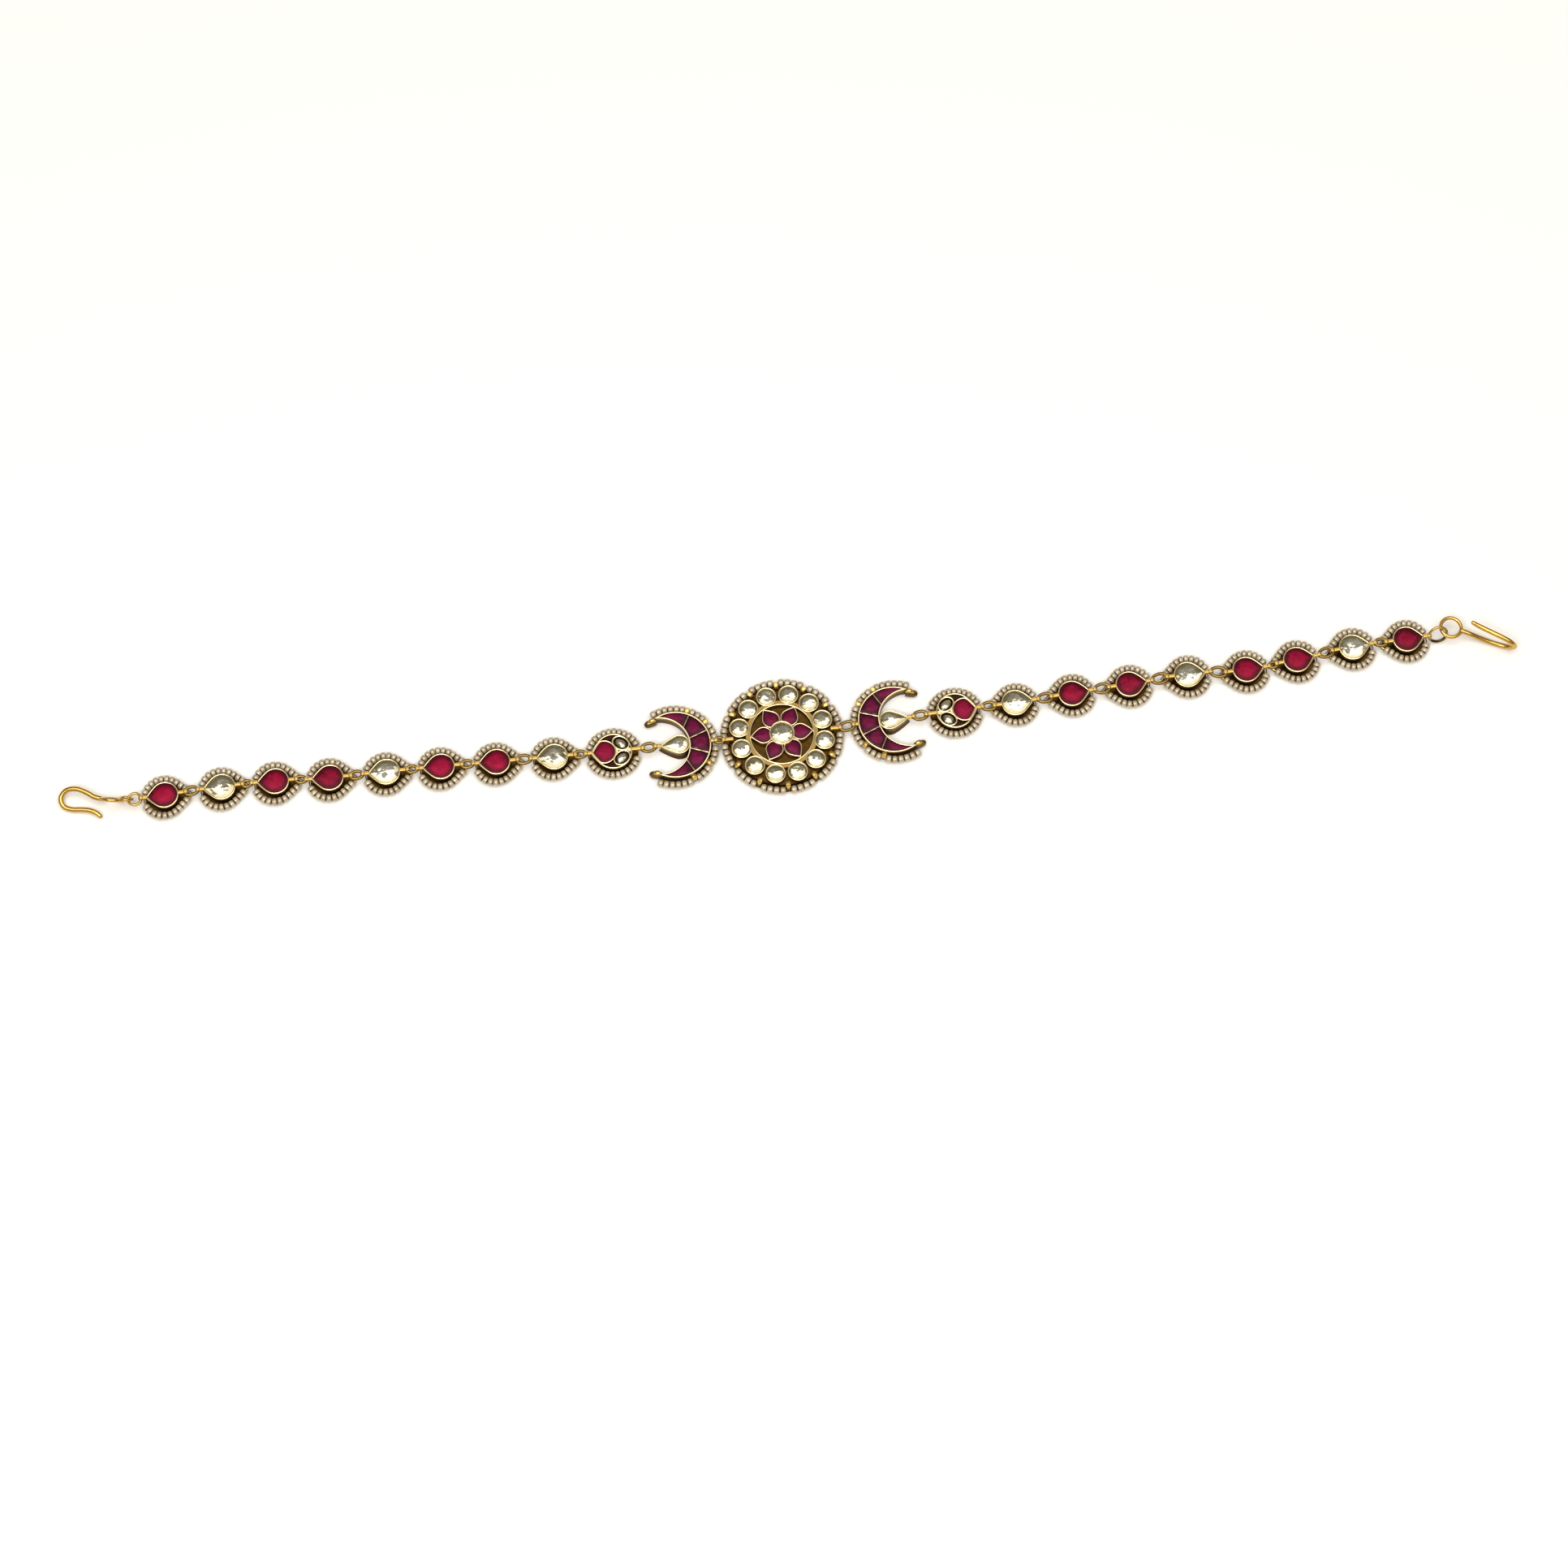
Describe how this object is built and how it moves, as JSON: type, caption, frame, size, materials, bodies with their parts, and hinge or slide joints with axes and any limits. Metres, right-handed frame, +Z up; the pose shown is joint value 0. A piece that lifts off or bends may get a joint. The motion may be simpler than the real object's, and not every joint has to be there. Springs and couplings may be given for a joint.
{
  "type": "matha patti head chain",
  "caption": "Jewelled head chain laid out straight: round medallion, crescent links, pear-shaped links edged with seed pearls, and a fish hook at each end.",
  "frame": {"origin": "middle of the medallion's flat back, on the surface the chain lies on", "axes": "+X along the chain through the medallion towards the right-hand hook, +Y across the chain, +Z up out of the stones' faces"},
  "size_m": [0.3507, 0.0296, 0.0072],
  "materials": {
    "gold": "polished warm gold plate, brown in the recesses",
    "seed_pearl": "soft pearl lustre, champagne to greige",
    "ruby_stone": "foil-backed magenta red, flat polished top",
    "clear_stone": "foil-backed clear stone, silvery grey to white"
  },
  "bodies": {
    "root": {"medallion_setting": "gold", "medallion_pearls": "seed_pearl", "crescent_setting_left": "gold", "crescent_pearls_left": "seed_pearl", "trio_setting_left": "gold", "trio_pearls_left": "seed_pearl", "pear_setting_left_1": "gold", "pear_pearls_left_1": "seed_pearl", "pear_stone_left_1": "clear_stone", "pear_setting_left_2": "gold", "pear_pearls_left_2": "seed_pearl", "pear_stone_left_2": "ruby_stone", "pear_setting_left_3": "gold", "pear_pearls_left_3": "seed_pearl", "pear_stone_left_3": "ruby_stone", "pear_setting_left_4": "gold", "pear_pearls_left_4": "seed_pearl", "pear_stone_left_4": "clear_stone", "pear_setting_left_5": "gold", "pear_pearls_left_5": "seed_pearl", "pear_stone_left_5": "ruby_stone", "pear_setting_left_6": "gold", "pear_pearls_left_6": "seed_pearl", "pear_stone_left_6": "ruby_stone", "pear_setting_left_7": "gold", "pear_pearls_left_7": "seed_pearl", "pear_stone_left_7": "clear_stone", "pear_setting_left_8": "gold", "pear_pearls_left_8": "seed_pearl", "pear_stone_left_8": "ruby_stone", "hook_left": "gold", "crescent_setting_right": "gold", "crescent_pearls_right": "seed_pearl", "trio_setting_right": "gold", "trio_pearls_right": "seed_pearl", "pear_setting_right_1": "gold", "pear_pearls_right_1": "seed_pearl", "pear_stone_right_1": "clear_stone", "pear_setting_right_2": "gold", "pear_pearls_right_2": "seed_pearl", "pear_stone_right_2": "ruby_stone", "pear_setting_right_3": "gold", "pear_pearls_right_3": "seed_pearl", "pear_stone_right_3": "ruby_stone", "pear_setting_right_4": "gold", "pear_pearls_right_4": "seed_pearl", "pear_stone_right_4": "clear_stone", "pear_setting_right_5": "gold", "pear_pearls_right_5": "seed_pearl", "pear_stone_right_5": "ruby_stone", "pear_setting_right_6": "gold", "pear_pearls_right_6": "seed_pearl", "pear_stone_right_6": "ruby_stone", "pear_setting_right_7": "gold", "pear_pearls_right_7": "seed_pearl", "pear_stone_right_7": "clear_stone", "pear_setting_right_8": "gold", "pear_pearls_right_8": "seed_pearl", "pear_stone_right_8": "ruby_stone", "hook_right": "gold"}
  },
  "joints": []
}
